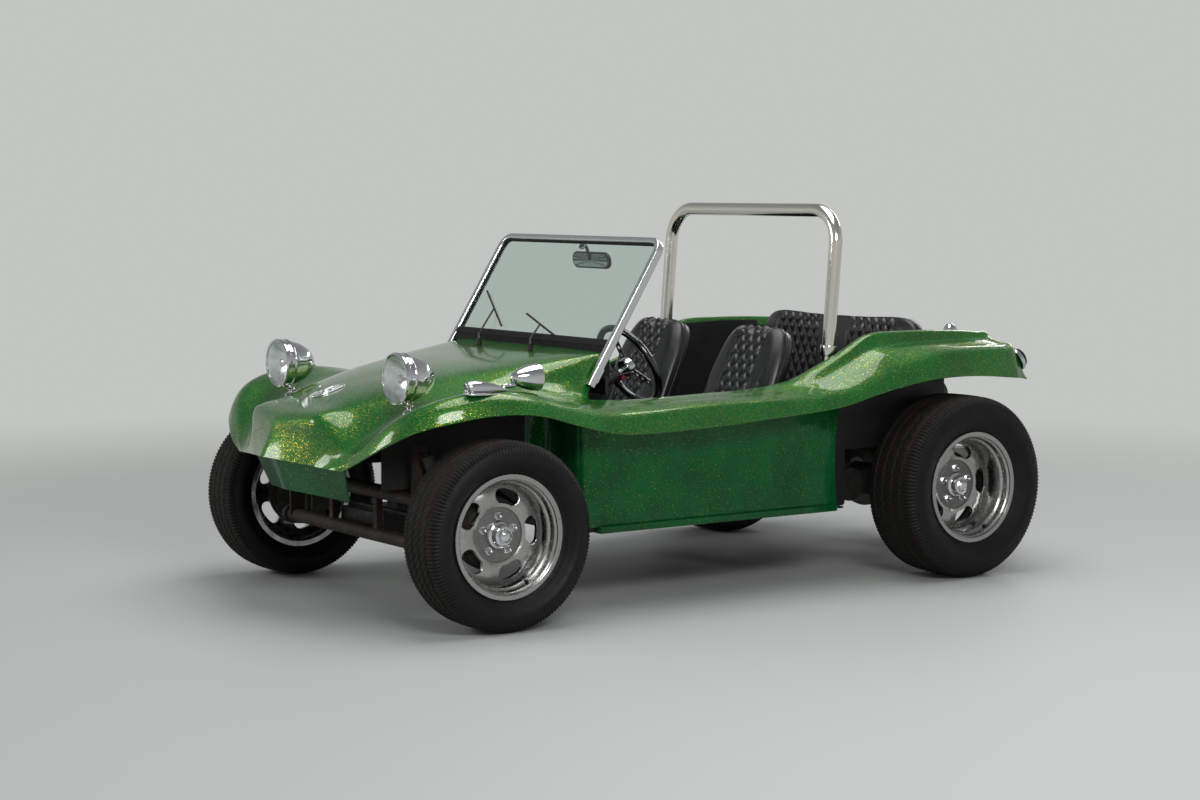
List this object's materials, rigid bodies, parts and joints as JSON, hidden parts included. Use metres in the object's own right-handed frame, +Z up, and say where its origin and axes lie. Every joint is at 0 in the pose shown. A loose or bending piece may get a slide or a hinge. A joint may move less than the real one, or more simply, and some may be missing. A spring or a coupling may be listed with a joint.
{
  "type": "dune buggy",
  "caption": "Open off-road buggy with a moulded glass-fibre body, rear engine, roll bar, raked windshield, quilted seats, steering front wheels and slotted alloy wheels.",
  "frame": {"origin": "middle of the footprint on the ground, under the centre of the overall box", "axes": "+Z up, the car faces -Y, and +X is the car's left"},
  "size_m": [1.698, 3.226, 1.39],
  "materials": {
    "flake_gelcoat": "deep gloss gelcoat full of gold flake",
    "shadow_gelcoat": "dark green gloss gelcoat",
    "trim_black": "satin black sprayed inside",
    "chassis_black": "satin black chassis paint",
    "beam_paint": "satin black chassis paint",
    "dash_vinyl": "grained black",
    "bright_frame": "polished",
    "clear_glass": "clear",
    "wiper_black": "satin black",
    "chrome_trim": "bright chrome",
    "chrome_tube": "bright chrome tube",
    "stitched_leather": "black, quilted in diamonds",
    "rim_grip": "black grip on bright spokes",
    "red_lens": "red moulded lens",
    "forged_steel": "forged, painted",
    "cast_alloy": "as cast",
    "shroud_enamel": "gloss black enamel",
    "exhaust_chrome": "bright steel",
    "polished_alloy": "polished",
    "tyre_rubber": "black"
  },
  "bodies": {
    "chassis": {"front_body": "flake_gelcoat", "side_left": "flake_gelcoat", "side_right": "flake_gelcoat", "rear_fender_left": "flake_gelcoat", "rear_fender_right": "flake_gelcoat", "rear_deck": "flake_gelcoat", "nose_panel": "shadow_gelcoat", "inner_fenders": "shadow_gelcoat", "body_panels": "shadow_gelcoat", "tub": "trim_black", "floor_pan": "chassis_black", "dashboard": "dash_vinyl", "windshield_frame": "bright_frame", "windshield_glass": "clear_glass", "wipers": "wiper_black", "mirrors": "chrome_trim", "roll_bar": "chrome_tube", "seat_left": "stitched_leather", "seat_right": "stitched_leather", "rear_bench": "stitched_leather", "steering_column": "chassis_black", "headlights": "chrome_trim", "turn_signals": "chrome_trim", "fuel_cap": "chrome_trim", "tail_lights": "red_lens", "front_beam": "beam_paint", "front_arms": "chassis_black", "rear_suspension": "chassis_black", "transaxle": "cast_alloy", "engine": "cast_alloy", "fan_shroud": "shroud_enamel", "exhaust": "exhaust_chrome", "controls": "chassis_black"},
    "front_left_hub": {"knuckle_left": "forged_steel"},
    "front_right_hub": {"knuckle_right": "forged_steel"},
    "track_rod": {"tie_rod": "forged_steel"},
    "steering": {"steering_wheel": "rim_grip"},
    "front_left_wheel": {"wheel_front_left": "polished_alloy", "tyre_front_left": "tyre_rubber"},
    "front_right_wheel": {"wheel_front_right": "polished_alloy", "tyre_front_right": "tyre_rubber"},
    "rear_left_wheel": {"wheel_rear_left": "polished_alloy", "tyre_rear_left": "tyre_rubber"},
    "rear_right_wheel": {"wheel_rear_right": "polished_alloy", "tyre_rear_right": "tyre_rubber"}
  },
  "joints": [
    {"name": "steer_left", "type": "hinge", "parent": "chassis", "child": "front_left_hub", "pos_m": [0.6, -1.119, 0.3145], "axis": [0, 0, 1], "range_deg": [-30, 30]},
    {"name": "steer_right", "type": "hinge", "parent": "chassis", "child": "front_right_hub", "pos_m": [-0.6, -1.119, 0.3145], "axis": [0, 0, 1], "range_deg": [-30, 30]},
    {"name": "steering_turn", "type": "hinge", "parent": "chassis", "child": "steering", "pos_m": [0.3, -0.292, 0.811], "axis": [0, 0.8829, 0.4695], "range_deg": [-420, 420]},
    {"name": "tie_rod_slide", "type": "slide", "parent": "chassis", "child": "track_rod", "axis": [1, 0, 0], "range_m": [-0.0425, 0.0425]},
    {"name": "front_left_spin", "type": "hinge", "parent": "front_left_hub", "child": "front_left_wheel", "pos_m": [0.72, -1.119, 0.3145], "axis": [1, 0, 0], "continuous": true},
    {"name": "front_right_spin", "type": "hinge", "parent": "front_right_hub", "child": "front_right_wheel", "pos_m": [-0.72, -1.119, 0.3145], "axis": [1, 0, 0], "continuous": true},
    {"name": "rear_left_spin", "type": "hinge", "parent": "chassis", "child": "rear_left_wheel", "pos_m": [0.72, 0.913, 0.34], "axis": [1, 0, 0], "continuous": true},
    {"name": "rear_right_spin", "type": "hinge", "parent": "chassis", "child": "rear_right_wheel", "pos_m": [-0.72, 0.913, 0.34], "axis": [1, 0, 0], "continuous": true}
  ],
  "couplings": [
    {"joint": "steer_right", "follows": "steer_left", "ratio": 1},
    {"joint": "steering_turn", "follows": "steer_left", "ratio": 14},
    {"joint": "tie_rod_slide", "follows": "steer_left", "m_per_rad": 0.08}
  ]
}
